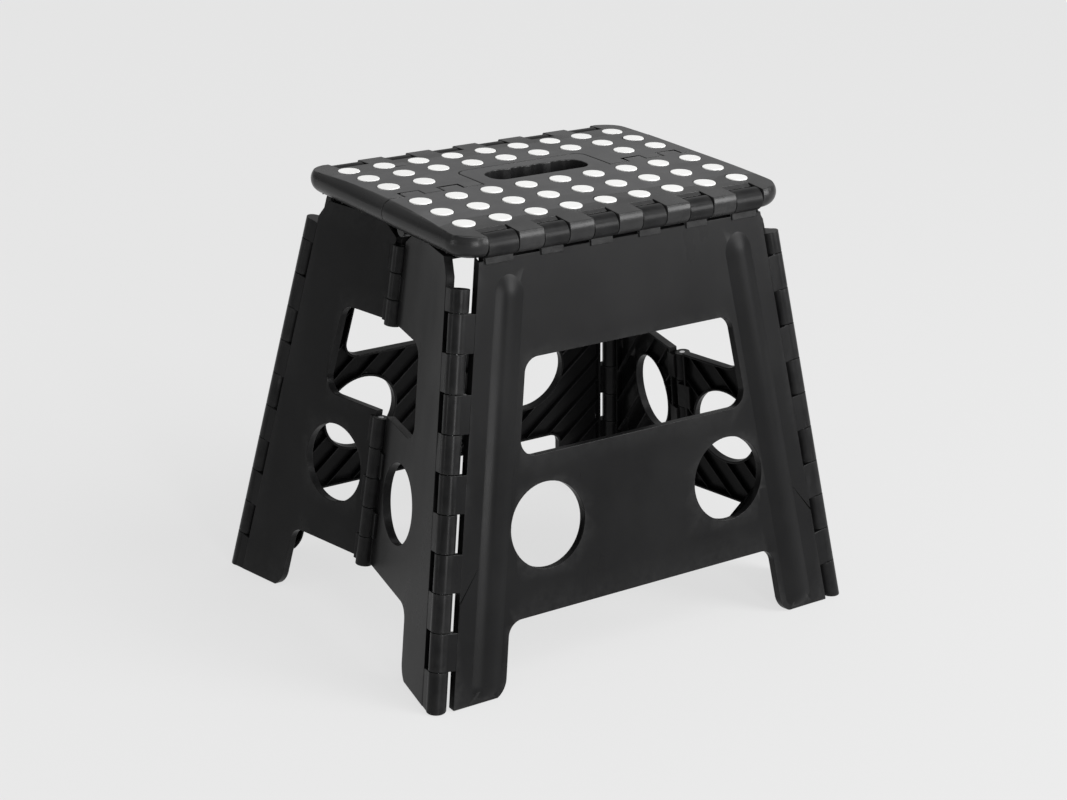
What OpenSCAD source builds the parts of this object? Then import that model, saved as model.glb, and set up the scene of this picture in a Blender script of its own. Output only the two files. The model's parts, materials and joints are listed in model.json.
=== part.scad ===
// Folding step stool: a two-part top on two leaning leg panels, with four
// side panels that fold inwards between them on pinned plastic hinges.

/* [Overall] */
// Height of the middle of the top above the floor
stool_h = 386; // [356:1:416]
// Length of the top
top_l = 334; // [326:1:350]
// Distance from the middle of the top to the pin of an edge hinge
edge_y = 118.5; // [114:0.5:126]
// Lean of the front and rear leg panels from upright, in degrees
leg_lean = 9.1; // [8.6:0.1:9.6]
// Lean of the corner hinges along the length of the stool, in degrees
end_lean = 8.95; // [8.4:0.05:9.4]
// Distance from the middle to a corner hinge at the height of the edge hinges
corner_x = 154; // [150:0.5:158]
// How far the side panels are folded inwards at the floor
fold_in = 24; // [21:1:28]

/* [Top] */
// Depth of the rim of the top
rim_h = 23; // [21:0.5:25]
// Radius of the corners of the top, seen from above
top_corner_r = 24; // [20:1:32]
// Radius of the crown across the top
crown_r = 1880; // [1400:10:3000]
// Thickness of the deck
deck_t = 2.8; // [2.4:0.1:4]
// Thickness of the rim at its middle height
rim_wall = 6; // [5:0.5:8]
// Distance from the middle line to the step of the seam on the front half
seam_step = 8; // [7.6:0.1:10]
// How far the seam's fingers reach past the middle line
finger_reach = 2.7; // [1:0.1:4]
// Width of a finger of the seam
finger_w = 19; // [16:0.5:20]
// Distance from the end of the top to the middle of the inner finger
finger_in = 70.8; // [70:0.2:73]
// Spacing of the two fingers on each side of the handle
finger_pitch = 38.4; // [37:0.2:39]
// Clearance along the seam
seam_gap = 0.5; // [0.3:0.1:0.8]

/* [Handle] */
// Half length of the handle tongue
tongue_x = 66; // [62:1:72]
// Reach of the handle tongue past the middle line
tongue_y = 38.5; // [34:0.5:44]
// Radius of the corners of the handle tongue
tongue_r = 10; // [6:1:14]
// Half length of the hand slot
slot_x = 50; // [44:1:54]
// Front edge of the hand slot, in front of the middle line
slot_front = 4; // [2:0.5:5]
// Rear edge of the hand slot, between its finger scallops
slot_rear = 24; // [20:0.5:26]
// Radius of the ends of the hand slot
slot_r = 12; // [8:1:13]
// Radius of a finger scallop
scallop_r = 15; // [12:0.5:18]
// Depth of a finger scallop
scallop_depth = 2; // [1:0.25:3]
// Spacing of the finger scallops
scallop_pitch = 21; // [18:0.5:23]

/* [Grip dots] */
// Radius of a grip dot
dot_r = 9.5; // [7:0.25:11]
// Spacing of the grip dots along the top
dot_pitch = 35.07; // [32:0.1:36]
// Distance from the middle line to the inner row of dots
dot_row_1 = 25.35; // [22:0.25:28]
// Distance between rows of dots
dot_row_pitch = 32.8; // [30:0.1:33.5]
// Depth of a dot's pocket
dot_pocket = 1.2; // [0.8:0.1:1.6]
// How far a dot stands above the deck
dot_proud = 0.5; // [0.3:0.1:1]
// Clearance round a dot
dot_play = 0.05; // [0.02:0.01:0.2]

/* [Panels] */
// Depth of a leg or side panel
plate_t = 7.6; // [6.6:0.1:8]
// Distance from the corner hinge's axis to the inner face of a panel
plate_gap = 0.4; // [0.3:0.05:0.6]
// Thickness of a panel's outer skin
skin_t = 2.2; // [1.8:0.1:3]
// Thickness of a panel's edge walls and of the walls under the deck
wall_t = 2.2; // [1.8:0.1:3]
// Thickness of a rib
rib_t = 1.5; // [1.2:0.1:2]
// Spacing of the ribs inside the panels
rib_pitch = 20; // [16:1:30]
// How far a rib stops short of the wall edges
rib_set = 1.2; // [0.8:0.1:2]
// Spacing of the ribs under the deck
deck_rib_pitch = 33; // [28:1:40]

/* [Leg panels] */
// Width of a leg, from the corner hinge to the arch
leg_w = 63; // [58:1:68]
// Height of the arch between the legs
arch_z = 60; // [50:1:70]
// Height of the bottom of the window
window_z0 = 194; // [188:1:202]
// Distance from the crown of the top down to the top of the window
window_drop = 111.5; // [106:0.5:118]
// Radius of the window's corners
window_r = 14; // [8:1:18]
// Height of the middle of the round holes
hole_z = 133.5; // [127:0.5:137]
// Radius of the round holes in the leg panels
leg_hole_r = 37; // [30:0.5:40]
// Distance from the middle to a round hole in a leg panel
leg_hole_x = 95.4; // [90:0.2:104]
// Distance from the corner hinge's axis to the edge of a leg panel
leg_edge = 11.5; // [11:0.5:14]
// Radius of the arch's upper corners
arch_r = 14; // [8:1:18]
// Radius of the inner corner of a foot
foot_r = 20; // [12:1:22]
// Distance from the corner hinge's axis to the raised rib on a leg panel
bead_in = 41; // [36:0.5:43]
// Radius of the raised rib's section
bead_r = 20; // [14:0.5:26]
// How far the raised rib stands out
bead_out = 2.8; // [1.5:0.1:3.5]
// Distance from the crown of the top down to the end of the raised rib
bead_drop = 37; // [36:1:50]
// Height of the bottom of the raised rib
bead_bottom = 8; // [6:1:40]
// Length over which each end of the raised rib runs out
bead_run = 12; // [8:1:20]

/* [Side panels] */
// Width of a leg of the side panels, from the corner hinge to the arch
side_leg_w = 64; // [58:1:70]
// Radius of the round holes in the side panels
side_hole_r = 35; // [30:0.5:37]
// Distance from the fold hinge's axis to a round hole in a side panel
side_hole_in = 54.5; // [50:0.5:60]
// Distance from the corner hinge's axis to the edge of a side panel
side_edge = 11; // [10.6:0.1:12]
// Clearance between the side panels and the underside of the top
side_top_gap = 4; // [3:0.5:8]
// Height of the clearance notch at the top of the fold hinge
fold_notch_z = 13; // [11:0.5:18]
// Width of the clearance notch at the top of the fold hinge
fold_notch_w = 18; // [14:1:24]
// Turn of a side panel about its corner hinge, off the fold hinge's axis, in degrees
side_turn = 4; // [3.6:0.1:4.4]

/* [Hinges] */
// Radius of the hinge pins
pin_r = 2.5; // [2:0.1:3]
// Clearance between a pin and its bore
pin_play = 0.05; // [0.02:0.01:0.09]
// Clearance at each end of a pin
pin_end = 0.3; // [0.2:0.1:1]
// Clearance between neighbouring knuckles
knuckle_gap = 0.6; // [0.4:0.1:1]
// Radial clearance round a knuckle
knuckle_play = 0.6; // [0.4:0.1:1]
// Clearance in a leg panel round the turning rim of the top, beyond the knuckles
rim_play = 2.2; // [2:0.1:3]
// Radius of the knuckles of the edge hinges
edge_r = 10; // [9:0.25:10.5]
// Height of the crown above the pins of the edge hinges
edge_drop = 14; // [13.5:0.25:14.5]
// Distance from the corner hinges' plane out to the pin of the edge hinge
edge_out = 8; // [6:0.1:8.2]
// Width of an edge knuckle
edge_knuckle = 24.7; // [23:0.1:25.5]
// Number of edge knuckles between the two end ones
edge_n = 9; // [7:2:9]
// Width of the two end knuckles of an edge hinge
edge_end_w = 29.2; // [26:0.2:30]
// Clearance behind an edge knuckle
notch_gap = 1.5; // [1:0.1:2.5]
// Radius of the knuckles of the corner hinges
corner_r = 8.3; // [7.4:0.1:8.5]
// Length of the lowest corner knuckle, from the floor
corner_first = 34.6; // [30:0.2:38]
// Length of a corner knuckle
corner_pitch = 32.6; // [31:0.1:33]
// Length of the uppermost corner knuckle
corner_last = 19.4; // [14:0.2:20]
// Number of full-length corner knuckles
corner_n = 9; // [7:2:9]
// Radius of the knuckles of the fold hinges
fold_r = 7.2; // [6.5:0.1:7.6]
// Distance from the crown of the top down to the top of the fold hinges
fold_drop = 44; // [42:1:48]
// Number of knuckles of a fold hinge below the window
fold_n_low = 5; // [3:2:5]
// Number of knuckles of a fold hinge above the window
fold_n_high = 3; // [3:2:3]
// Clearance between the underside of the rim and the pins of the seam hinges
seam_drop = 7.8; // [7.7:0.1:9.5]
// Radius of the knuckles of the seam hinges
seam_r = 6; // [5.2:0.1:6.4]

/* [Feet] */
// How far a foot pad stands below its leg
pad_proud = 0.8; // [0.5:0.1:2]
// Length of a foot pad
pad_l = 26; // [18:1:30]
// Width of a foot pad
pad_w = 4; // [3:0.1:4.4]
// Depth of a foot pad's pocket
pad_depth = 6; // [4:0.5:8]
// Clearance round a foot pad
pad_play = 0.1; // [0.05:0.05:0.3]
// Distance from the corner hinge's axis to the middle of a foot pad
pad_in = 36; // [32:1:40]

/* [Hidden] */
$fn = 64;
crown_fn = 720;
over = 5;
corner_over = 1;
fillet_min = 0.5;
arc_cross = 0.03;
tab_set = 0.2;
bead_over = 1;
lug_set = 0.3;
panel_colour = [0.15, 0.15, 0.155];
top_colour = [0.3, 0.3, 0.31];
dot_colour = [0.93, 0.93, 0.92];
pin_colour = [0.62, 0.62, 0.64];
pad_colour = [0.09, 0.09, 0.09];

// Hinge lines: the corner and fold hinges of one end meet at a point high above the stool
edge_z = stool_h - edge_drop;
rim_z = stool_h - rim_h;
seam_z = rim_z - seam_drop;
foot_y = edge_y - edge_out / cos(leg_lean) + edge_z * tan(leg_lean);
foot_x = corner_x + edge_z * tan(end_lean);
apex = [foot_x - foot_y * tan(end_lean) / tan(leg_lean), 0, foot_y / tan(leg_lean)];
corner_foot = [foot_x, -foot_y, 0];
fold_foot = [foot_x - fold_in, 0, 0];
corner_dir = unit(apex - corner_foot);
fold_dir = unit(apex - fold_foot);

// Side panel's own frame: x along the floor towards the fold hinge, y up the slope, z outwards
hinge_normal = unit(cross(corner_dir, fold_dir));
side_normal = hinge_normal * cos(side_turn) + cross(corner_dir, hinge_normal) * sin(side_turn);
side_heading = atan2(side_normal.x, -side_normal.y);
side_lean = asin(side_normal.z);
side_x = [cos(side_heading), sin(side_heading), 0];
side_y = cross(side_normal, side_x);
side_k = (corner_dir * side_x) / (corner_dir * side_y);
fold_base = fold_foot - corner_foot;

// Leg panel's own frame: x along the stool, y up the slope, z outwards
leg_k = tan(end_lean) * cos(leg_lean);
leg_top = (edge_z - edge_out * sin(leg_lean)) / cos(leg_lean);
edge_half = edge_n * edge_knuckle / 2;
edge_end = edge_half + edge_end_w;
notch_y = edge_y - edge_r - notch_gap;
window_z1 = stool_h - window_drop;
bead_top = stool_h - bead_drop;
foot_below = 3;
beam_h = 20;
crown_cut = 0.6;
fold_clear = fold_r + knuckle_play;
web_reach = fold_clear + 6;
web_set = 1.6;

function unit(v) = v / norm(v);
function up_leg(z) = z / cos(leg_lean);
function up_side(z) = z / cos(side_lean);

// Where the fold hinge's axis lies in the side panel's frame, at a distance s along it
function fold_at(s) = let (p = fold_base + fold_dir * s) [p * side_x, p * side_y, p * side_normal];
function fold_s(z) = z / fold_dir.z;
function fold_x(v) = fold_at(0).x
    + (v - fold_at(0).y) * (fold_dir * side_x) / (fold_dir * side_y);

// Ends of the corner knuckles along the corner hinge, from the floor up
function corner_s(i) = i == 0 ? -over
    : i <= corner_n + 1 ? corner_first + (i - 1) * corner_pitch
    : corner_first + corner_n * corner_pitch + corner_last;
corner_top = corner_s(corner_n + 2);

// Ends of the edge knuckles that belong to the leg panel and to the top
leg_zones = concat([[-edge_end, -edge_half], [edge_half, edge_end]],
    [for (i = [1:2:edge_n - 2]) [i * edge_knuckle - edge_half, (i + 1) * edge_knuckle - edge_half]]);
deck_zones = [for (i = [0:2:edge_n - 1])
    [i * edge_knuckle - edge_half, (i + 1) * edge_knuckle - edge_half]];

// Ends of the seam knuckles on one side of the handle: fingers belong to the front half
finger_x = top_l / 2 - finger_in;
finger_a = [finger_x - finger_w / 2, finger_x + finger_w / 2];
finger_b = finger_a + [finger_pitch, finger_pitch];
front_seam_zones = [finger_a, finger_b];
rear_seam_zones = [[tongue_x + wall_t, finger_a[0]], [finger_a[1], finger_b[0]]];
seam_end = finger_b[1];

// Ends of the fold knuckles: the odd ones, from 0, belong to the front half
fold_top_z = stool_h - fold_drop;
fold_low_z = arch_z - 2;
fold_high_z = window_z1 - 2;
fold_step_low = (window_z0 - 2 - fold_low_z) / fold_n_low;
fold_step_high = (fold_top_z - fold_high_z) / fold_n_high;
fold_zones = concat(
    [for (i = [0:fold_n_low - 1]) [fold_low_z + i * fold_step_low, fold_low_z + (i + 1) * fold_step_low]],
    [for (i = [0:fold_n_high - 1]) [fold_high_z + i * fold_step_high, fold_high_z + (i + 1) * fold_step_high]]);
fold_front = [for (i = [0:len(fold_zones) - 1])
    (i < fold_n_low ? i : i - fold_n_low) % 2 == 1];

// Outline helpers: a side moved inwards, and corners that are cut or filled with an arc.
// An arc crosses its sides by arc_cross, so that it meets them at a clean angle.
function meet(p, a, q, b) = p + a * (cross(q - p, b) / cross(a, b));
function inset(pts, d) = [for (i = [0:len(pts) - 1])
    let (n = len(pts), p = pts[(i + n - 1) % n], q = pts[i], r = pts[(i + 1) % n])
    let (a = unit(q - p), b = unit(r - q))
    meet(q + d * [-a.y, a.x], a, q + d * [-b.y, b.x], b)];
function bend(pts, i) = let (n = len(pts))
    cross(pts[i] - pts[(i + n - 1) % n], pts[(i + 1) % n] - pts[i]);
function inset_radii(pts, radii, d) = [for (i = [0:len(pts) - 1])
    radii[i] == 0 ? 0 : bend(pts, i) < 0 ? radii[i] + d : max(radii[i] - d, fillet_min)];

module corner_piece(p, q, r, radius) {
    a = unit(p - q);
    b = unit(r - q);
    half = acos(a * b) / 2;
    middle = unit(a + b);
    centre = q + middle * ((radius - arc_cross) / sin(half));
    reach = (radius - arc_cross) / tan(half);
    difference() {
        polygon([q - middle * corner_over, q + a * reach, centre, q + b * reach]);
        translate(centre) circle(radius);
    }
}

module corner_pieces(pts, radii, side) {
    n = len(pts);
    for (i = [0:n - 1])
        if (radii[i] > 0 && bend(pts, i) * side > 0)
            corner_piece(pts[(i + n - 1) % n], pts[i], pts[(i + 1) % n], radii[i]);
}

module rounded(pts, radii) {
    difference() {
        union() {
            polygon(pts);
            corner_pieces(pts, radii, -1);
        }
        corner_pieces(pts, radii, 1);
    }
}

// A panel's plan, moved inwards by d: outline, its radii, windows, their radii and round holes
module plan(shape, d) {
    difference() {
        rounded(inset(shape[0], d), inset_radii(shape[0], shape[1], d));
        rounded(inset(shape[2], -d), inset_radii(shape[2], shape[3], -d));
        for (hole = shape[4])
            translate([hole.x, hole.y]) circle(hole.z + d);
    }
}

module slanting_ribs(half_w, height) {
    n = ceil((half_w + height) / rib_pitch / 1.4);
    translate([0, height / 2]) rotate(-45)
        for (i = [-n:n])
            translate([i * rib_pitch - rib_t / 2, -half_w - height])
                square([rib_t, 2 * (half_w + height)]);
}

// Outer skin, edge walls and slanting ribs of a panel
module plate(shape, middle_x, half_w, height) {
    translate([0, 0, plate_gap + plate_t - skin_t]) linear_extrude(skin_t) plan(shape, 0);
    translate([0, 0, plate_gap]) linear_extrude(plate_t) difference() {
        plan(shape, 0);
        plan(shape, wall_t);
    }
    translate([0, 0, plate_gap + rib_set]) linear_extrude(plate_t - rib_set - skin_t / 2) intersection() {
        plan(shape, wall_t / 2);
        translate([middle_x, 0]) slanting_ribs(half_w, height);
    }
}

module along_x(r, x0, x1) {
    translate([x0, 0, 0]) rotate([0, 90, 0]) cylinder(r = r, h = x1 - x0);
}

module along_y(r, y0, y1) {
    translate([0, y0, 0]) rotate([-90, 0, 0]) cylinder(r = r, h = y1 - y0);
}

// Frame of a corner hinge inside a panel's frame: y along the pin
module corner_frame(k) {
    rotate([0, 0, -atan(k)]) children();
}

// Corner knuckles of one panel, each with its tab: first is 0 for a side panel and 1 for a leg panel
module corner_knuckles(k, first, edge) {
    corner_frame(k)
        for (i = [first:2:corner_n + 1]) {
            s0 = corner_s(i) + (i == 0 ? 0 : knuckle_gap / 2);
            s1 = corner_s(i + 1) - (i == corner_n + 1 ? 0 : knuckle_gap / 2);
            along_y(corner_r, s0, s1);
            translate([0, s0, plate_gap + tab_set])
                cube([edge + wall_t / 2, s1 - s0, plate_t - 2 * tab_set]);
        }
}

module corner_bore(k, r, s_end) {
    corner_frame(k) along_y(r, corner_r / 2 - s_end, corner_top - wall_t + s_end);
}

module below_floor() {
    floor_half = 2 * foot_x;
    translate([-floor_half, -floor_half, -floor_half])
        cube([2 * floor_half, 2 * floor_half, floor_half + pad_proud]);
}

// Foot pad, its pocket and the block round the pocket, from the foot of a corner hinge
module pad_block(grow, height) {
    translate([pad_in - pad_l / 2 - grow, -over, plate_gap + (plate_t - pad_w) / 2 - grow])
        cube([pad_l + 2 * grow, over + height, pad_w + 2 * grow]);
}

module foot_boss() {
    translate([pad_in - pad_l / 2 - wall_t, -foot_below, plate_gap])
        cube([pad_l + 2 * wall_t, foot_below + pad_depth + wall_t, plate_t]);
}

// Leg panel
leg_shape = [
    [[-foot_x + leg_edge, -foot_below], [-foot_x + leg_w, -foot_below],
     [-foot_x + leg_w + leg_k * up_leg(arch_z), up_leg(arch_z)],
     [foot_x - leg_w - leg_k * up_leg(arch_z), up_leg(arch_z)],
     [foot_x - leg_w, -foot_below], [foot_x - leg_edge, -foot_below],
     [foot_x - leg_edge - leg_k * leg_top, leg_top],
     [-foot_x + leg_edge + leg_k * leg_top, leg_top]],
    [0, foot_r, arch_r, arch_r, foot_r, 0, 0, 0],
    [for (p = [[-1, window_z0], [1, window_z0], [1, window_z1], [-1, window_z1]])
        [p.x * (foot_x - leg_w - leg_k * up_leg(p.y)), up_leg(p.y)]],
    [window_r, window_r, window_r, window_r],
    [[-leg_hole_x, up_leg(hole_z), leg_hole_r], [leg_hole_x, up_leg(hole_z), leg_hole_r]]
];

module leg_frame() {
    translate([0, -foot_y, 0]) rotate([90 - leg_lean, 0, 0]) children();
}

module leg_corners() {
    for (flip = [0, 1])
        mirror([flip, 0, 0]) translate([-foot_x, 0, 0]) children();
}

module bead() {
    translate([bead_in, 0, plate_gap + plate_t + bead_out - bead_r])
        along_y(bead_r, up_leg(bead_bottom), up_leg(bead_top));
}

// Side view of the raised rib: it runs out at both ends, and starts inside the skin
module bead_run_out() {
    low = plate_gap + plate_t - skin_t / 2;
    high = plate_gap + plate_t + bead_out + bead_over;
    y0 = up_leg(bead_bottom);
    y1 = up_leg(bead_top);
    translate([bead_in - bead_r, 0, 0]) rotate([90, 0, 90]) linear_extrude(2 * bead_r)
        polygon([[y0, low], [y1, low], [y1 - bead_run, high], [y0 + bead_run, high]]);
}

module edge_pin_axis() {
    translate([0, -edge_y, edge_z]) children();
}

module leg_panel() {
    difference() {
        union() {
            leg_frame() {
                plate(leg_shape, 0, foot_x, leg_top);
                translate([-edge_end, leg_top - beam_h, plate_gap]) cube([2 * edge_end, beam_h, plate_t]);
                leg_corners() {
                    corner_knuckles(leg_k, 1, leg_edge);
                    foot_boss();
                    corner_frame(leg_k) intersection() {
                        bead();
                        bead_run_out();
                    }
                }
            }
            edge_pin_axis()
                for (zone = leg_zones)
                    along_x(edge_r, zone[0] + knuckle_gap / 2, zone[1] - knuckle_gap / 2);
        }
        edge_pin_axis() {
            for (zone = concat(deck_zones, [[-foot_x, -edge_end], [edge_end, foot_x]]))
                along_x(edge_r + rim_play, zone[0] - knuckle_gap / 2, zone[1] + knuckle_gap / 2);
            along_x(pin_r + pin_play, wall_t - edge_end, edge_end - wall_t);
        }
        leg_frame() leg_corners() {
            corner_bore(leg_k, pin_r + pin_play, 0);
            pad_block(pad_play, pad_depth);
        }
        below_floor();
    }
}

// Side panel on the right of the stool, at the front
side_top = up_side(rim_z - side_top_gap);
side_notch = up_side(rim_z - side_top_gap - fold_notch_z);
side_shape = [
    [[side_edge, -foot_below], [side_leg_w, -foot_below],
     [side_leg_w + side_k * up_side(arch_z), up_side(arch_z)],
     [fold_x(up_side(arch_z)) - fold_clear, up_side(arch_z)],
     [fold_x(side_notch) - fold_clear, side_notch],
     [fold_x(side_top) - fold_clear - fold_notch_w, side_top],
     [side_k * side_top + side_edge + fold_clear, side_top],
     [side_k * corner_top + side_edge, corner_top]],
    [0, foot_r, arch_r, 0, 0, 0, 0, 0],
    [[side_leg_w + side_k * up_side(window_z0), up_side(window_z0)],
     [fold_x(side_top), up_side(window_z0)], [fold_x(side_top), up_side(window_z1)],
     [side_leg_w + side_k * up_side(window_z1), up_side(window_z1)]],
    [window_r, 0, 0, window_r],
    [[fold_x(up_side(hole_z)) - side_hole_in, up_side(hole_z), side_hole_r]]
];

module side_frame() {
    translate(corner_foot) rotate([0, 0, side_heading]) rotate([90 - side_lean, 0, 0]) children();
}

module fold_axis() {
    translate(fold_foot) rotate([0, -acos(fold_dir.z), 0]) children();
}

// Knuckles of the fold hinge that belong to the front half or to the rear half
module fold_knuckles(front) {
    for (i = [0:len(fold_zones) - 1])
        if (fold_front[i] == front) {
            s0 = fold_s(fold_zones[i][0]) + knuckle_gap / 2;
            s1 = fold_s(fold_zones[i][1]) - knuckle_gap / 2;
            fold_axis() translate([0, 0, s0]) cylinder(r = fold_r, h = s1 - s0);
            low = fold_at(s0 + web_set);
            high = fold_at(s1 - web_set);
            side_frame() translate([0, 0, plate_gap]) linear_extrude(high.z - plate_gap)
                polygon([[low.x - web_reach, low.y], [low.x, low.y], [high.x, high.y],
                    [high.x - web_reach, high.y]]);
        }
}

module side_panel(front) {
    difference() {
        union() {
            side_frame() {
                plate(side_shape, side_leg_w, fold_x(0) / 2, side_top);
                corner_knuckles(side_k, 0, side_edge);
                foot_boss();
            }
            fold_knuckles(front);
        }
        side_frame() {
            corner_bore(side_k, pin_r + pin_play, 0);
            pad_block(pad_play, pad_depth);
        }
        fold_axis() cylinder(r = pin_r + pin_play, h = fold_s(fold_top_z) + over);
        below_floor();
    }
}

// Whole top as one rounded slab under its crown, before it is parted along the seam
slab_h = rim_h + crown_cut;
nose_r = slab_h / 2;
top_x = top_l / 2 - nose_r;
top_y = edge_y + edge_r - nose_r;
nose_corner = top_corner_r - nose_r;

module crown(depth) {
    translate([0, 0, stool_h - crown_r]) rotate([0, 90, 0])
        cylinder(r = crown_r - depth, h = 2 * top_l, center = true, $fn = crown_fn);
}

module nose_half() {
    intersection() {
        circle(nose_r);
        translate([0, -nose_r]) square([nose_r, 2 * nose_r]);
    }
}

module nose_edge(length) {
    rotate([90, 0, 0]) translate([0, 0, -length / 2]) linear_extrude(length) nose_half();
}

module top_slab() {
    core_x = top_x - nose_corner;
    core_y = top_y - nose_corner;
    translate([0, 0, rim_z]) {
        translate([-top_x, -core_y, 0]) cube([2 * top_x, 2 * core_y, slab_h]);
        translate([-core_x, -top_y, 0]) cube([2 * core_x, 2 * top_y, slab_h]);
    }
    translate([0, 0, rim_z + nose_r])
        for (turn = [0, 180]) rotate([0, 0, turn]) {
            translate([top_x, 0, 0]) nose_edge(2 * core_y);
            translate([0, top_y, 0]) rotate([0, 0, 90]) nose_edge(2 * core_x);
            translate([core_x, core_y, 0]) top_corner();
            translate([-core_x, core_y, 0]) rotate([0, 0, 90]) top_corner();
        }
}

module top_corner() {
    rotate_extrude(angle = 90) {
        translate([0, -nose_r]) square([nose_corner, slab_h]);
        translate([nose_corner, 0]) nose_half();
    }
}

module rounded_rect(x, y, r) {
    square([2 * (x - r), 2 * y], center = true);
    square([2 * x, 2 * (y - r)], center = true);
    for (sx = [-1, 1], sy = [-1, 1])
        translate([sx * (x - r), sy * (y - r)]) circle(r);
}

// Region of one half of the top: the seam from the right-hand end to the left-hand end
function finger(zone, low, high, g) = [[zone[1] + g, low], [zone[1] + g, high],
    [zone[0] - g, high], [zone[0] - g, low]];
function seam_right(low, high, reach, g) = concat([[top_l, low]], finger(finger_b, low, high, g),
    finger(finger_a, low, high, g), [[tongue_x + g, low], [tongue_x + g, reach]]);
function flipped(pts) = [for (i = [len(pts) - 1:-1:0]) [-pts[i].x, pts[i].y]];
function region(low, high, reach, g) = let (right = seam_right(low, high, reach, g))
    concat([[-top_l, -top_l], [top_l, -top_l]], right, flipped(right));
function region_radii(r) = concat([0, 0], [for (i = [0:9]) 0], [r, r], [for (i = [0:9]) 0]);
front_region = region(-seam_step, finger_reach, tongue_y, 0);
rear_region = region(seam_step - seam_gap, -finger_reach - seam_gap, -tongue_y - seam_gap, seam_gap);

module slot_plan(grow) {
    rounded(inset([[-slot_x, -slot_front], [slot_x, -slot_front], [slot_x, slot_rear], [-slot_x, slot_rear]],
        -grow), [for (i = [0:3]) slot_r + grow]);
    for (i = [-1.5:1:1.5])
        translate([i * scallop_pitch, slot_rear + scallop_depth - scallop_r]) circle(scallop_r + grow);
}

// Hollow under one half of the deck, before its ribs
module hollow_plan(pts, r, d) {
    intersection() {
        rounded_rect(top_l / 2 - rim_wall - d, top_y + nose_r - rim_wall - d, top_corner_r - rim_wall);
        rounded(inset(pts, wall_t + d), inset_radii(pts, region_radii(r), wall_t + d));
        translate([-top_l, wall_t + d - notch_y]) square([2 * top_l, notch_y + tongue_y]);
    }
}

module deck_ribs() {
    for (i = [-5:5])
        translate([i * deck_rib_pitch - rib_t / 2, -top_l]) square([rib_t, 2 * top_l]);
    for (i = [1:3])
        translate([-top_l, -i * deck_rib_pitch - rib_t / 2]) square([2 * top_l, rib_t]);
}

module seam_knuckles(zones, r, gap) {
    for (zone = zones, flip = [0, 1])
        mirror([flip, 0, 0]) translate([0, 0, seam_z])
            along_x(r, zone[0] + gap, zone[1] - gap);
}

// Lugs that carry the seam knuckles under one half of the deck
module seam_lugs(zones, reach) {
    for (zone = zones, flip = [0, 1])
        mirror([flip, 0, 0]) translate([zone[0] + knuckle_gap / 2, -seam_r + lug_set, seam_z])
            cube([zone[1] - zone[0] - knuckle_gap, seam_r - lug_set + reach, rim_h / 2 + seam_drop]);
}

function row_y(row) = dot_row_1 + row * dot_row_pitch;
function deck_z(y) = stool_h - crown_r + sqrt(crown_r * crown_r - y * y);
function dot_places(inner_gap) = [for (row = [0:2], column = [-4:4])
    if (row > 0 || abs(column) > inner_gap) [column * dot_pitch, -row_y(row)]];

module dots(places, r, drop, rise) {
    for (p = places)
        translate([p.x, p.y, deck_z(p.y) - drop]) cylinder(r = r, h = drop + rise);
}

// One half of the top, built at the front: the rear half is turned over to its place
module deck_half(pts, r, own_zones, other_zones, lug_reach, places, slot) {
    difference() {
        union() {
            difference() {
                intersection() {
                    top_slab();
                    crown(0);
                    translate([0, 0, rim_z - over]) linear_extrude(rim_h + 2 * over)
                        rounded(pts, inset_radii(pts, region_radii(r), 0));
                }
                intersection() {
                    crown(deck_t);
                    translate([0, 0, rim_z - over]) linear_extrude(rim_h + over) difference() {
                        hollow_plan(pts, r, 0);
                        if (slot) slot_plan(wall_t);
                    }
                }
            }
            intersection() {
                crown(deck_t / 2);
                translate([0, 0, rim_z + rib_set]) linear_extrude(rim_h) intersection() {
                    hollow_plan(pts, r, -wall_t / 2);
                    deck_ribs();
                }
            }
            edge_pin_axis()
                for (zone = deck_zones)
                    along_x(edge_r, zone[0] + knuckle_gap / 2, zone[1] - knuckle_gap / 2);
            seam_knuckles(own_zones, seam_r, knuckle_gap / 2);
            seam_lugs(own_zones, lug_reach);
        }
        edge_pin_axis() {
            for (zone = leg_zones)
                translate([zone[0] - knuckle_gap / 2, -edge_r - over, -edge_z])
                    cube([zone[1] - zone[0] + knuckle_gap, edge_y + edge_r + over - notch_y, stool_h + over]);
            along_x(pin_r + pin_play, wall_t - edge_end, edge_end - wall_t);
        }
        seam_knuckles(other_zones, seam_r + knuckle_play, -knuckle_gap / 2);
        seam_knuckles([[tongue_x + 2 * wall_t, seam_end - wall_t]], pin_r + pin_play, 0);
        dots(places, dot_r + dot_play, dot_pocket, over);
        if (slot)
            translate([0, 0, rim_z - over]) linear_extrude(rim_h + 2 * over) slot_plan(0);
    }
}

module top_front() {
    color(top_colour)
        deck_half(front_region, tongue_r, front_seam_zones, rear_seam_zones, finger_reach - lug_set,
            dot_places(-1), true);
}

module top_rear() {
    color(top_colour) mirror([0, 1, 0])
        deck_half(rear_region, tongue_r + seam_gap, rear_seam_zones, front_seam_zones, seam_r - lug_set,
            dot_places(2), false);
}

module grip_dots_front() {
    color(dot_colour) dots(dot_places(-1), dot_r, dot_pocket, dot_proud);
}

module grip_dots_rear() {
    color(dot_colour) mirror([0, 1, 0]) dots(dot_places(2), dot_r, dot_pocket, dot_proud);
}

module leg_front() {
    color(panel_colour) leg_panel();
}

module leg_rear() {
    color(panel_colour) mirror([0, 1, 0]) leg_panel();
}

// Places a piece made for the right-hand front at one of the four corners
module at_corner(left, rear) {
    mirror([left ? 1 : 0, 0, 0]) mirror([0, rear ? 1 : 0, 0]) children();
}

module side_left_front() {
    color(panel_colour) at_corner(true, false) side_panel(true);
}

module side_left_rear() {
    color(panel_colour) at_corner(true, true) side_panel(false);
}

module side_right_front() {
    color(panel_colour) at_corner(false, false) side_panel(true);
}

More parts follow.
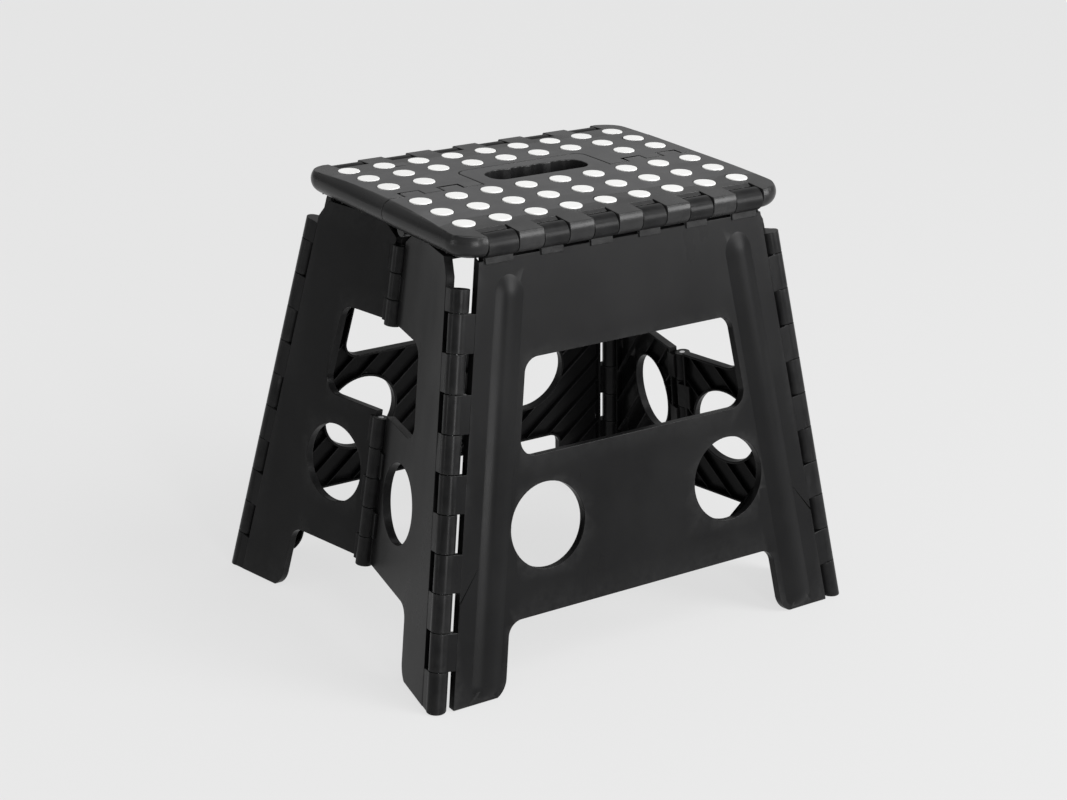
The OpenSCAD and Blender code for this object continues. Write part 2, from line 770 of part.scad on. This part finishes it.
module side_right_rear() {
    color(panel_colour) at_corner(false, true) side_panel(false);
}

module edge_pin() {
    color(pin_colour) edge_pin_axis()
        along_x(pin_r, wall_t + pin_end - edge_end, edge_end - wall_t - pin_end);
}

module edge_pin_front() {
    edge_pin();
}

module edge_pin_rear() {
    mirror([0, 1, 0]) edge_pin();
}

module seam_pin() {
    color(pin_colour) translate([0, 0, seam_z])
        along_x(pin_r, tongue_x + 2 * wall_t + pin_end, seam_end - wall_t - pin_end);
}

module seam_pin_left() {
    mirror([1, 0, 0]) seam_pin();
}

module seam_pin_right() {
    seam_pin();
}

module corner_pin(left, rear) {
    color(pin_colour) at_corner(left, rear) side_frame() corner_bore(side_k, pin_r, -pin_end);
}

module corner_pin_left_front() {
    corner_pin(true, false);
}

module corner_pin_left_rear() {
    corner_pin(true, true);
}

module corner_pin_right_front() {
    corner_pin(false, false);
}

module corner_pin_right_rear() {
    corner_pin(false, true);
}

// Pins of a fold hinge: one in each knuckle of the rear side panel
module fold_pins() {
    color(pin_colour) fold_axis()
        for (i = [0:len(fold_zones) - 1])
            if (!fold_front[i]) {
                s0 = fold_s(fold_zones[i][0]) + knuckle_gap / 2;
                s1 = fold_s(fold_zones[i][1]) - knuckle_gap / 2;
                translate([0, 0, s0]) cylinder(r = pin_r, h = s1 - s0);
            }
}

module fold_pins_left() {
    mirror([1, 0, 0]) fold_pins();
}

module fold_pins_right() {
    fold_pins();
}

module under_floor() {
    translate([0, 0, -pad_proud]) below_floor();
}

module leg_pads() {
    color(pad_colour) difference() {
        leg_frame() leg_corners() pad_block(0, pad_depth);
        under_floor();
    }
}

module foot_pads_front() {
    leg_pads();
}

module foot_pads_rear() {
    mirror([0, 1, 0]) leg_pads();
}

module side_pad(left, rear) {
    color(pad_colour) at_corner(left, rear) difference() {
        side_frame() pad_block(0, pad_depth);
        under_floor();
    }
}

module foot_pad_left_front() {
    side_pad(true, false);
}

module foot_pad_left_rear() {
    side_pad(true, true);
}

module foot_pad_right_front() {
    side_pad(false, false);
}

module foot_pad_right_rear() {
    side_pad(false, true);
}

top_front();
top_rear();
grip_dots_front();
grip_dots_rear();
leg_front();
leg_rear();
side_left_front();
side_left_rear();
side_right_front();
side_right_rear();
edge_pin_front();
edge_pin_rear();
seam_pin_left();
seam_pin_right();
corner_pin_left_front();
corner_pin_left_rear();
corner_pin_right_front();
corner_pin_right_rear();
fold_pins_left();
fold_pins_right();
foot_pads_front();
foot_pads_rear();
foot_pad_left_front();
foot_pad_left_rear();
foot_pad_right_front();
foot_pad_right_rear();
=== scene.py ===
"""Folding step stool in black moulded plastic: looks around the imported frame."""
import json
import math

import bmesh
import bpy
from mathutils import Matrix, Vector


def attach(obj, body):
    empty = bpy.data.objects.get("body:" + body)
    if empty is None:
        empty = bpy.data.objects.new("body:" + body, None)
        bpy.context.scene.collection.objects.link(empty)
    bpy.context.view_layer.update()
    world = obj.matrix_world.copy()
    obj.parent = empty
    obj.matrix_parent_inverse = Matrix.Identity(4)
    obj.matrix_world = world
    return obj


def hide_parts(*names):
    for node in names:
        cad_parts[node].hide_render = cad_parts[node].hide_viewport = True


MM = 0.001

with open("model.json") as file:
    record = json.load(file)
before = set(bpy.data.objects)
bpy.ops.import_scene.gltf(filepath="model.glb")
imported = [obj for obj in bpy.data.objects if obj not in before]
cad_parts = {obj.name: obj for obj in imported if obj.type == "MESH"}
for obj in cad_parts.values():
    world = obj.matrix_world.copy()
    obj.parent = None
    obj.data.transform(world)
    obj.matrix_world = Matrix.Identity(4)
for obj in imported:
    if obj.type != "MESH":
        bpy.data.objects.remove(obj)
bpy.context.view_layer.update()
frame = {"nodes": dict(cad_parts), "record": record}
nodes = frame["nodes"]

BEHAVIOUR = frame["record"]["behaviour"]
BODY_OF = {node: body for body, members in BEHAVIOUR["bodies"].items() for node in members}
JOINTS = {joint["name"]: joint for joint in BEHAVIOUR["joints"]}

# Edge rounding of the moulded parts: the usual one, the one on the deck's upper face, the dots' one
EDGE_ROUND = 0.55 * MM
TOP_ROUND = 0.95 * MM
DOT_ROUND = 0.45 * MM
EDGE_SEGMENTS = 2
DOT_SEGMENTS = 3

# What counts as sharp, as smooth and as flat, and how the flat faces are merged and cut again
SHARP_ANGLE = math.radians(33)
SMOOTH_ANGLE = math.radians(26)
FLAT_ANGLE = math.radians(0.3)
MERGE_DISTANCE = 0.002 * MM
CUT_PITCH = 30 * MM

# Where the leg panels stand: their lean, their corner hinges and the hinge under the deck's edge
FOOT_X = abs(JOINTS["corner_hinge_left_front"]["pos_m"][0])
FOOT_Y = abs(JOINTS["corner_hinge_left_front"]["pos_m"][1])
CORNER_AXIS = [abs(part) for part in JOINTS["corner_hinge_left_front"]["axis"]]
LEAN = math.atan2(CORNER_AXIS[1], CORNER_AXIS[2])
TAPER = math.atan(CORNER_AXIS[0] / CORNER_AXIS[2] * math.cos(LEAN))
EDGE_Y = abs(JOINTS["front_edge_hinge"]["pos_m"][1])
EDGE_Z = JOINTS["front_edge_hinge"]["pos_m"][2]
PANEL_FACE = 8.0 * MM

# Soft raised ridge along each leg: its middle as a distance in from the corner hinge, its reach to
# either side, its height, how deep it sits, its ends up the slope, and its grid
RIDGE_IN = 41 * MM
RIDGE_INNER = 16.5 * MM
RIDGE_OUTER = 14 * MM
RIDGE_OUT = 3.35 * MM
RIDGE_POWER = 1.5
RIDGE_SINK = 0.2 * MM
RIDGE_LOW = 8.5 * MM
RIDGE_HIGH = 361 * MM
RIDGE_RUN_LOW = 10 * MM
RIDGE_RUN_HIGH = 18 * MM
RIDGE_POINT = 0.2
RIDGE_ROOT = 1 * MM
RIDGE_ACROSS = 26
RIDGE_ALONG = 120

# Knuckles of the edge hinges: those that belong to a leg panel, as middle and width
KNUCKLE_W = 24.7 * MM
END_KNUCKLE_W = 29.2 * MM
KNUCKLE_COUNT = 9
KNUCKLE_HALF = KNUCKLE_COUNT * KNUCKLE_W / 2
LEG_KNUCKLES = [(-KNUCKLE_HALF + (i + 0.5) * KNUCKLE_W, KNUCKLE_W) for i in range(1, KNUCKLE_COUNT, 2)]
LEG_KNUCKLES += [(side * (KNUCKLE_HALF + END_KNUCKLE_W / 2), END_KNUCKLE_W) for side in (-1, 1)]

# Tabs under those knuckles, measured down the panel from the pin
TAB_INSET = 1.3 * MM
TAB_TOP = 4 * MM
TAB_BOTTOM = 15.5 * MM
TAB_OUT = 1.3 * MM
TAB_ROOT = 1.5 * MM

# Deck: what counts as its textured field, whose upward faces are also painted lighter than the rim as a
# painted sheen
FIELD_SHEEN_LEVEL = 0.98
FIELD_Z = 384 * MM

# Ledges of the deck behind the leg panels' knuckles: each end of the section as distance out, lower
# and upper height
LEDGE_ROOT = (106.4 * MM, 380.1 * MM, 382.7 * MM)
LEDGE_TIP = (111.2 * MM, 380.1 * MM, 380.8 * MM)
LEDGE_GAP = 0.8 * MM
LEDGE_ROUND = 0.25 * MM

# Moulded grain: strength of its bump in metres, and the stretch of the slow change in gloss
GRAIN_HEIGHT = 0.25 * MM
GRAIN_CELL_SHARE = 0.5
GLOSS_STRETCH = (9.0, 9.0, 3.0)
GLOSS_SCALE = 1.5

# Rubbed edges: pointiness where the rub starts and is full, and the scale of its breakup
RUB_START = 0.51
RUB_FULL = 0.58
RUB_SCALE = 160.0
PLASTIC_IOR = 1.49

# Camera at the photograph's viewing angle, in metres and degrees
CAMERA_AT = Vector((-1.113585, -1.588134, 0.910218))
CAMERA_YAW = -34.93
CAMERA_PITCH = 20.75
CAMERA_ROLL = 1.40
CAMERA_LENS = 78.24
SENSOR_WIDTH = 36.0
CAMERA_NEAR = 0.05
CAMERA_FAR = 100.0

# Floor: part of its light is the flat background colour, for every ray that shows it
BACKGROUND = (0.783, 0.783, 0.783, 1.0)
FLOOR_COLOUR = (0.74, 0.74, 0.74, 1.0)
FLOOR_ROUGHNESS = 0.95
FLOOR_SPECULAR = 0.1
FLOOR_SIZE = 60.0
FLOOR_FLAT_SHARE = 0.86

# World: dim at the horizon, bright above, darker on the left; the limits are parts of a direction
WORLD_LOW = 0.2
WORLD_HIGH = 0.8
WORLD_LEFT = 0.6
WORLD_UP_FROM = -0.05
WORLD_UP_TO = 0.4
WORLD_SIDE = 0.8

# Sun: strength, angle in degrees, direction. Softboxes: name, power in watts, size and place in metres
KEY_SUN = (1.5, 30.0, (0.45, -0.6, 0.9))
SUN_HEIGHT = 3.0
SOFTBOXES = (
    ("front_strip", 52.0, (0.45, 1.5), (-0.55, -2.9, 0.78)),
    ("right_box", 80.0, (1.5, 1.3), (1.75, -2.35, 1.05)),
    ("left_strip", 8.0, (0.3, 1.2), (-2.6, 0.35, 0.62)),
)
SOFTBOX_AIM = Vector((0.0, 0.0, 0.25))


def deselect():
    bpy.ops.object.select_all(action="DESELECT")


def pick(piece):
    deselect()
    piece.select_set(True)
    bpy.context.view_layer.objects.active = piece


def apply_modifiers(piece):
    pick(piece)
    for modifier in list(piece.modifiers):
        bpy.ops.object.modifier_apply(modifier=modifier.name)


def join(pieces):
    pick(pieces[0])
    for piece in pieces:
        piece.select_set(True)
    bpy.ops.object.join()
    return pieces[0]


# Materials: what more than one of them uses is a node group


def new_group(name, inputs, outputs):
    group = bpy.data.node_groups.new(name, "ShaderNodeTree")
    for label, kind, value in inputs:
        socket = group.interface.new_socket(name=label, in_out="INPUT", socket_type=kind)
        if value is not None:
            socket.default_value = value
    for label, kind in outputs:
        group.interface.new_socket(name=label, in_out="OUTPUT", socket_type=kind)
    start = group.nodes.new("NodeGroupInput")
    end = group.nodes.new("NodeGroupOutput")
    return group, start, end


def noise_node(tree, coordinates, detail, roughness):
    noise = tree.nodes.new("ShaderNodeTexNoise")
    noise.inputs["Detail"].default_value = detail
    noise.inputs["Roughness"].default_value = roughness
    tree.links.new(coordinates, noise.inputs["Vector"])
    return noise


def range_node(tree, value, low, high, to_low, to_high):
    node = tree.nodes.new("ShaderNodeMapRange")
    tree.links.new(value, node.inputs["Value"])
    for label, number in (("From Min", low), ("From Max", high), ("To Min", to_low), ("To Max", to_high)):
        node.inputs[label].default_value = number
    return node


def make_grain_group():
    group, start, end = new_group(
        "moulded_grain",
        [("Vector", "NodeSocketVector", None), ("Grain Scale", "NodeSocketFloat", 900.0),
         ("Grain Depth", "NodeSocketFloat", 0.1), ("Cloud Scale", "NodeSocketFloat", 14.0)],
        [("Normal", "NodeSocketVector"), ("Cloud", "NodeSocketFloat"), ("Gloss", "NodeSocketFloat")])
    links = group.links
    fine = noise_node(group, start.outputs["Vector"], 3.0, 0.6)
    links.new(start.outputs["Grain Scale"], fine.inputs["Scale"])
    cells = group.nodes.new("ShaderNodeTexVoronoi")
    cells.feature = "SMOOTH_F1"
    links.new(start.outputs["Vector"], cells.inputs["Vector"])
    links.new(start.outputs["Grain Scale"], cells.inputs["Scale"])
    height = group.nodes.new("ShaderNodeMath")
    height.operation = "MULTIPLY_ADD"
    height.inputs[1].default_value = GRAIN_CELL_SHARE
    links.new(cells.outputs["Distance"], height.inputs[0])
    links.new(fine.outputs["Fac"], height.inputs[2])
    bump = group.nodes.new("ShaderNodeBump")
    bump.inputs["Distance"].default_value = GRAIN_HEIGHT
    links.new(start.outputs["Grain Depth"], bump.inputs["Strength"])
    links.new(height.outputs[0], bump.inputs["Height"])
    cloud = noise_node(group, start.outputs["Vector"], 4.0, 0.55)
    links.new(start.outputs["Cloud Scale"], cloud.inputs["Scale"])
    stretch = group.nodes.new("ShaderNodeMapping")
    stretch.inputs["Scale"].default_value = GLOSS_STRETCH
    links.new(start.outputs["Vector"], stretch.inputs["Vector"])
    gloss = noise_node(group, stretch.outputs["Vector"], 5.0, 0.6)
    gloss.inputs["Scale"].default_value = GLOSS_SCALE
    links.new(bump.outputs["Normal"], end.inputs["Normal"])
    links.new(range_node(group, cloud.outputs["Fac"], 0.3, 0.7, 0.0, 1.0).outputs[0], end.inputs["Cloud"])
    links.new(range_node(group, gloss.outputs["Fac"], 0.35, 0.65, 0.0, 1.0).outputs[0], end.inputs["Gloss"])
    return group


def make_wear_group():
    group, start, end = new_group(
        "edge_wear",
        [("Vector", "NodeSocketVector", None), ("Color", "NodeSocketColor", (0, 0, 0, 1)),
         ("Worn Color", "NodeSocketColor", (0.1, 0.1, 0.1, 1)), ("Amount", "NodeSocketFloat", 0.5)],
        [("Color", "NodeSocketColor"), ("Mask", "NodeSocketFloat")])
    links = group.links
    geometry = group.nodes.new("ShaderNodeNewGeometry")
    edge = range_node(group, geometry.outputs["Pointiness"], RUB_START, RUB_FULL, 0.0, 1.0)
    breakup = noise_node(group, start.outputs["Vector"], 4.0, 0.65)
    breakup.inputs["Scale"].default_value = RUB_SCALE
    patch = range_node(group, breakup.outputs["Fac"], 0.35, 0.65, 0.25, 1.0)
    both = group.nodes.new("ShaderNodeMath")
    both.operation = "MULTIPLY"
    links.new(edge.outputs[0], both.inputs[0])
    links.new(patch.outputs[0], both.inputs[1])
    mask = group.nodes.new("ShaderNodeMath")
    mask.operation = "MULTIPLY"
    mask.use_clamp = True
    links.new(both.outputs[0], mask.inputs[0])
    links.new(start.outputs["Amount"], mask.inputs[1])
    mix = group.nodes.new("ShaderNodeMix")
    mix.data_type = "RGBA"
    links.new(mask.outputs[0], mix.inputs["Factor"])
    links.new(start.outputs["Color"], mix.inputs["A"])
    links.new(start.outputs["Worn Color"], mix.inputs["B"])
    links.new(mix.outputs["Result"], end.inputs["Color"])
    links.new(mask.outputs[0], end.inputs["Mask"])
    return group


GRAIN = make_grain_group()
WEAR = make_wear_group()


def plastic(name, dark, light, worn, rough, grain, wear=0.5, specular=0.5):
    """Plastic between two tones; rough is the range of its roughness, grain its scale and depth."""
    material = bpy.data.materials.new(name)
    material.use_nodes = True
    tree = material.node_tree
    shader = tree.nodes["Principled BSDF"]
    shader.inputs["Specular IOR Level"].default_value = specular
    shader.inputs["IOR"].default_value = PLASTIC_IOR
    coordinates = tree.nodes.new("ShaderNodeTexCoord")
    surface = tree.nodes.new("ShaderNodeGroup")
    surface.node_tree = GRAIN
    surface.inputs["Grain Scale"].default_value = grain[0]
    surface.inputs["Grain Depth"].default_value = grain[1]
    tree.links.new(coordinates.outputs["Object"], surface.inputs["Vector"])
    tone = tree.nodes.new("ShaderNodeMix")
    tone.data_type = "RGBA"
    tone.inputs["A"].default_value = (*dark, 1.0)
    tone.inputs["B"].default_value = (*light, 1.0)
    tree.links.new(surface.outputs["Cloud"], tone.inputs["Factor"])
    rub = tree.nodes.new("ShaderNodeGroup")
    rub.node_tree = WEAR
    rub.inputs["Worn Color"].default_value = (*worn, 1.0)
    rub.inputs["Amount"].default_value = wear
    tree.links.new(coordinates.outputs["Object"], rub.inputs["Vector"])
    tree.links.new(tone.outputs["Result"], rub.inputs["Color"])
    tree.links.new(rub.outputs["Color"], shader.inputs["Base Color"])
    shine = range_node(tree, surface.outputs["Gloss"], 0.0, 1.0, rough[0], rough[1])
    tree.links.new(shine.outputs[0], shader.inputs["Roughness"])
    tree.links.new(surface.outputs["Normal"], shader.inputs["Normal"])
    return material


def steel(name):
    material = plastic(name, (0.42, 0.42, 0.43), (0.55, 0.55, 0.56), (0.7, 0.7, 0.7),
                       (0.22, 0.4), (2200.0, 0.08))
    material.node_tree.nodes["Principled BSDF"].inputs["Metallic"].default_value = 1.0
    return material


# Deck field: its own coarser grain and rougher gloss, and a lighter colour than the rim that is a painted
# sheen
FIELD_AND_SHEEN = plastic("deck_field_plastic_and_sheen", (0.026, 0.026, 0.027), (0.034, 0.034, 0.035), (0.07, 0.07, 0.07),
                (0.40, 0.50), (1300.0, 0.22), specular=0.5)
RIM = plastic("deck_rim_plastic", (0.007, 0.007, 0.0072), (0.011, 0.011, 0.0112), (0.05, 0.05, 0.05),
              (0.24, 0.34), (1500.0, 0.10), specular=0.2)
PANEL = plastic("panel_plastic", (0.004, 0.004, 0.0042), (0.0065, 0.0065, 0.0067), (0.035, 0.035, 0.035),
                (0.27, 0.37), (1500.0, 0.10), specular=0.085)
DOTS = plastic("dot_rubber", (0.70, 0.70, 0.69), (0.76, 0.76, 0.75), (0.80, 0.80, 0.79),
               (0.5, 0.62), (1800.0, 0.2), wear=0.2)
STEEL = steel("drawn_steel")
PADS = plastic("foot_rubber", (0.012, 0.012, 0.012), (0.02, 0.02, 0.02), (0.05, 0.05, 0.05),
               (0.7, 0.85), (1600.0, 0.3))


def set_material(piece, material):
    piece.data.materials.clear()
    piece.data.materials.append(material)


# Moulded copies of the plastic nodes, with their outer edges rounded


def flatten(piece):
    """Merge the loose triangles into flat faces, cut into strips so that none goes round a hole."""
    low = Vector(piece.bound_box[0])
    high = Vector(piece.bound_box[6])
    pick(piece)
    bpy.ops.object.mode_set(mode="EDIT")
    bpy.ops.mesh.select_all(action="SELECT")
    bpy.ops.mesh.remove_doubles(threshold=MERGE_DISTANCE)
    bpy.ops.mesh.dissolve_limited(angle_limit=FLAT_ANGLE, delimit={"NORMAL"})
    for axis in range(3):
        count = int((high[axis] - low[axis]) / CUT_PITCH)
        for i in range(1, count + 1):
            place = Vector()
            place[axis] = low[axis] + (high[axis] - low[axis]) * i / (count + 1)
            across = Vector()
            across[axis] = 1.0
            bpy.ops.mesh.select_all(action="SELECT")
            bpy.ops.mesh.bisect(plane_co=place, plane_no=across, threshold=MERGE_DISTANCE)
    bpy.ops.mesh.select_all(action="SELECT")
    bpy.ops.object.mode_set(mode="OBJECT")


def round_edges(piece, width, segments, top=None):
    """Round the sharp outward edges, and more so those that lie above the height top."""
    full = TOP_ROUND if top else width
    mesh = bmesh.new()
    mesh.from_mesh(piece.data)
    weight = mesh.edges.layers.float.new("bevel_weight_edge")
    for edge in mesh.edges:
        if edge.is_convex and edge.calc_face_angle(0.0) > SHARP_ANGLE:
            high = top and all(vertex.co.z > top for vertex in edge.verts)
            edge[weight] = 1.0 if high else width / full
    mesh.to_mesh(piece.data)
    mesh.free()
    bevel = piece.modifiers.new("edge", "BEVEL")
    bevel.width = full
    bevel.segments = segments
    bevel.limit_method = "WEIGHT"
    bevel.use_clamp_overlap = False
    bevel.miter_outer = "MITER_ARC"
    apply_modifiers(piece)


def shade(piece):
    pick(piece)
    bpy.ops.object.shade_smooth_by_angle(angle=SMOOTH_ANGLE)
    normals = piece.modifiers.new("even", "WEIGHTED_NORMAL")
    normals.keep_sharp = True
    apply_modifiers(piece)


def moulded(node, width=EDGE_ROUND, segments=EDGE_SEGMENTS, top=None):
    """Copy of a node with clean flat faces and rounded edges."""
    piece = bpy.data.objects.new(node + "_moulded", nodes[node].data.copy())
    bpy.context.scene.collection.objects.link(piece)
    flatten(piece)
    round_edges(piece, width, segments, top)
    return piece


def finish(piece, node):
    shade(piece)
    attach(piece, BODY_OF[node])
    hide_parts(node)


def make_ledge(middle, width, rear):
    """Sloping strip of the deck that shows behind a knuckle of the leg panel."""
    bpy.ops.mesh.primitive_cube_add(size=1.0)
    ledge = bpy.context.object
    for vertex in ledge.data.vertices:
        out, low, high = LEDGE_ROOT if vertex.co.y > 0 else LEDGE_TIP
        vertex.co = (middle + vertex.co.x * (width - LEDGE_GAP), -out, high if vertex.co.z > 0 else low)
    round_edges(ledge, LEDGE_ROUND, EDGE_SEGMENTS)
    put(ledge, Matrix.Diagonal((1.0, -1.0 if rear else 1.0, 1.0, 1.0)))
    return ledge


def make_deck(node):
    rear = node == "top_rear"
    pieces = [moulded(node, top=FIELD_Z)]
    for middle, width in LEG_KNUCKLES:
        pieces.append(make_ledge(middle, width, rear))
    piece = join(pieces)
    set_material(piece, RIM)
    # Upward faces of the field take the lighter plastic: a painted sheen on the deck's top, besides its own
    # texture
    piece.data.materials.append(FIELD_AND_SHEEN)
    for face in piece.data.polygons:
        if face.normal.z > FIELD_SHEEN_LEVEL and face.center.z > FIELD_Z:
            face.material_index = 1
    finish(piece, node)


# Leg panels: the soft ridges and the tabs are modelled at the front right and mirrored


def panel_place(flip_x, flip_y):
    flip = Matrix.Diagonal((-1.0 if flip_x else 1.0, -1.0 if flip_y else 1.0, 1.0, 1.0))
    stand = Matrix.Translation((0.0, -FOOT_Y, 0.0)) @ Matrix.Rotation(math.radians(90) - LEAN, 4, "X")
    return flip @ stand


def put(piece, place):
    piece.data.transform(place)
    if place.determinant() < 0:
        piece.data.flip_normals()


def ridge_point(side, along):
    """Place on the ridge, side running from -1 at its outer border to 1 at its inner one."""
    below = (RIDGE_LOW + RIDGE_RUN_LOW - along) / RIDGE_RUN_LOW
    above = (along - RIDGE_HIGH + RIDGE_RUN_HIGH) / RIDGE_RUN_HIGH
    beyond = max(0.0, below, above)
    left = max(0.0, 1.0 - beyond ** 2)
    across = side * (RIDGE_INNER if side > 0 else RIDGE_OUTER) * max(RIDGE_POINT, math.sqrt(left))
    return across, RIDGE_OUT * (left * (1.0 - side ** 2)) ** RIDGE_POWER - RIDGE_SINK


def make_ridge(place):
    bpy.ops.mesh.primitive_grid_add(x_subdivisions=RIDGE_ACROSS, y_subdivisions=RIDGE_ALONG, size=1.0)
    ridge = bpy.context.object
    bpy.ops.object.mode_set(mode="EDIT")
    bpy.ops.mesh.select_all(action="SELECT")
    bpy.ops.mesh.extrude_region_move(TRANSFORM_OT_translate={"value": (0.0, 0.0, -1.0)})
    bpy.ops.mesh.select_all(action="SELECT")
    bpy.ops.mesh.normals_make_consistent(inside=False)
    bpy.ops.object.mode_set(mode="OBJECT")
    for vertex in ridge.data.vertices:
        along = RIDGE_LOW + (vertex.co.y + 0.5) * (RIDGE_HIGH - RIDGE_LOW)
        across, height = ridge_point(2.0 * vertex.co.x, along)
        vertex.co = (across, along, height if vertex.co.z > -0.5 else -RIDGE_ROOT)
    corner = Matrix.Translation((-FOOT_X, 0.0, 0.0)) @ Matrix.Rotation(-TAPER, 4, "Z")
    put(ridge, place @ corner @ Matrix.Translation((RIDGE_IN, 0.0, PANEL_FACE)))
    return ridge


def make_tab(middle, width, place):
    bpy.ops.mesh.primitive_cube_add(size=1.0)
    tab = bpy.context.object
    pin_up = (FOOT_Y - EDGE_Y) * math.sin(LEAN) + EDGE_Z * math.cos(LEAN)
    low = pin_up - TAB_BOTTOM
    high = pin_up - TAB_TOP
    for vertex in tab.data.vertices:
        vertex.co = (middle + vertex.co.x * width,
                     low if vertex.co.y < 0 else high,
                     PANEL_FACE + (TAB_OUT if vertex.co.z > 0 else -TAB_ROOT))
    round_edges(tab, EDGE_ROUND, EDGE_SEGMENTS)
    put(tab, place)
    return tab


def make_leg(node):
    rear = node == "leg_rear"
    pieces = [moulded(node)]
    for flip_x in (False, True):
        pieces.append(make_ridge(panel_place(flip_x, rear)))
    for middle, width in LEG_KNUCKLES:
        pieces.append(make_tab(middle, width - 2 * TAB_INSET, panel_place(False, rear)))
    piece = join(pieces)
    set_material(piece, PANEL)
    finish(piece, node)


for name in ("top_front", "top_rear"):
    make_deck(name)
for name in ("leg_front", "leg_rear"):
    make_leg(name)
for name in ("side_left_front", "side_left_rear", "side_right_front", "side_right_rear"):
    side = moulded(name)
    set_material(side, PANEL)
    finish(side, name)
for name in ("grip_dots_front", "grip_dots_rear"):
    dots = moulded(name, width=DOT_ROUND, segments=DOT_SEGMENTS)
    set_material(dots, DOTS)
    finish(dots, name)
for name, node in nodes.items():
    if "pin" in name:
        set_material(node, STEEL)
    elif name.startswith("foot_pad"):
        set_material(node, PADS)


# Floor, light and camera


def make_floor():
    bpy.ops.mesh.primitive_plane_add(size=FLOOR_SIZE, location=(0.0, 0.0, 0.0))
    floor = bpy.context.object
    floor.name = "studio_floor"
    material = bpy.data.materials.new("floor_paper")
    material.use_nodes = True
    tree = material.node_tree
    shader = tree.nodes["Principled BSDF"]
    shader.inputs["Base Color"].default_value = FLOOR_COLOUR
    shader.inputs["Roughness"].default_value = FLOOR_ROUGHNESS
    shader.inputs["Specular IOR Level"].default_value = FLOOR_SPECULAR
    path = tree.nodes.new("ShaderNodeLightPath")
    seen = path.outputs["Is Camera Ray"]
    for label in ("Is Glossy Ray", "Is Transmission Ray"):
        both = tree.nodes.new("ShaderNodeMath")
        both.operation = "MAXIMUM"
        tree.links.new(seen, both.inputs[0])
        tree.links.new(path.outputs[label], both.inputs[1])
        seen = both.outputs[0]
    share = range_node(tree, seen, 0.0, 1.0, 0.0, FLOOR_FLAT_SHARE)
    flat = tree.nodes.new("ShaderNodeEmission")
    flat.inputs["Color"].default_value = BACKGROUND
    mix = tree.nodes.new("ShaderNodeMixShader")
    tree.links.new(share.outputs[0], mix.inputs["Fac"])
    tree.links.new(shader.outputs[0], mix.inputs[1])
    tree.links.new(flat.outputs[0], mix.inputs[2])
    tree.links.new(mix.outputs[0], tree.nodes["Material Output"].inputs["Surface"])
    set_material(floor, material)


def make_world():
    world = bpy.data.worlds.new("studio")
    bpy.context.scene.world = world
    world.use_nodes = True
    tree = world.node_tree
    base = tree.nodes["Background"]
    base.inputs["Strength"].default_value = 1.0
    coordinates = tree.nodes.new("ShaderNodeTexCoord")
    split = tree.nodes.new("ShaderNodeSeparateXYZ")
    tree.links.new(coordinates.outputs["Generated"], split.inputs[0])
    up = range_node(tree, split.outputs["Z"], WORLD_UP_FROM, WORLD_UP_TO, WORLD_LOW, WORLD_HIGH)
    side = range_node(tree, split.outputs["X"], -WORLD_SIDE, WORLD_SIDE, WORLD_LEFT, 1.0)
    light = tree.nodes.new("ShaderNodeMath")
    light.operation = "MULTIPLY"
    tree.links.new(up.outputs[0], light.inputs[0])
    tree.links.new(side.outputs[0], light.inputs[1])
    tree.links.new(light.outputs[0], base.inputs["Color"])


def make_sun(name, strength, angle, direction):
    bpy.ops.object.light_add(type="SUN", location=(0.0, 0.0, SUN_HEIGHT))
    lamp = bpy.context.object
    lamp.name = name
    lamp.data.energy = strength
    lamp.data.angle = math.radians(angle)
    lamp.rotation_mode = "QUATERNION"
    lamp.rotation_quaternion = (-Vector(direction)).to_track_quat("-Z", "Y")


def make_softbox(name, power, size, place):
    bpy.ops.object.light_add(type="AREA", location=place)
    lamp = bpy.context.object
    lamp.name = name
    lamp.data.shape = "RECTANGLE"
    lamp.data.size = size[0]
    lamp.data.size_y = size[1]
    lamp.data.energy = power
    lamp.visible_camera = False
    lamp.rotation_mode = "QUATERNION"
    lamp.rotation_quaternion = (SOFTBOX_AIM - Vector(place)).to_track_quat("-Z", "Y")


def make_camera():
    yaw = math.radians(CAMERA_YAW)
    pitch = math.radians(CAMERA_PITCH)
    roll = math.radians(CAMERA_ROLL)
    ahead = Vector((-math.sin(yaw) * math.cos(pitch), math.cos(yaw) * math.cos(pitch), -math.sin(pitch)))
    right = ahead.cross(Vector((0.0, 0.0, 1.0))).normalized()
    up = right.cross(ahead)
    turned_right = math.cos(roll) * right + math.sin(roll) * up
    turned_up = -math.sin(roll) * right + math.cos(roll) * up
    data = bpy.data.cameras.new("photo_camera")
    data.sensor_width = SENSOR_WIDTH
    data.lens = CAMERA_LENS
    data.clip_start = CAMERA_NEAR
    data.clip_end = CAMERA_FAR
    camera = bpy.data.objects.new("photo_camera", data)
    bpy.context.scene.collection.objects.link(camera)
    turn = Matrix((turned_right, turned_up, -ahead)).transposed()
    camera.matrix_world = Matrix.Translation(CAMERA_AT) @ turn.to_4x4()
    bpy.context.scene.camera = camera


make_floor()
make_world()
make_sun("key", *KEY_SUN)
for softbox in SOFTBOXES:
    make_softbox(*softbox)
make_camera()
bpy.context.scene.view_settings.view_transform = "Standard"
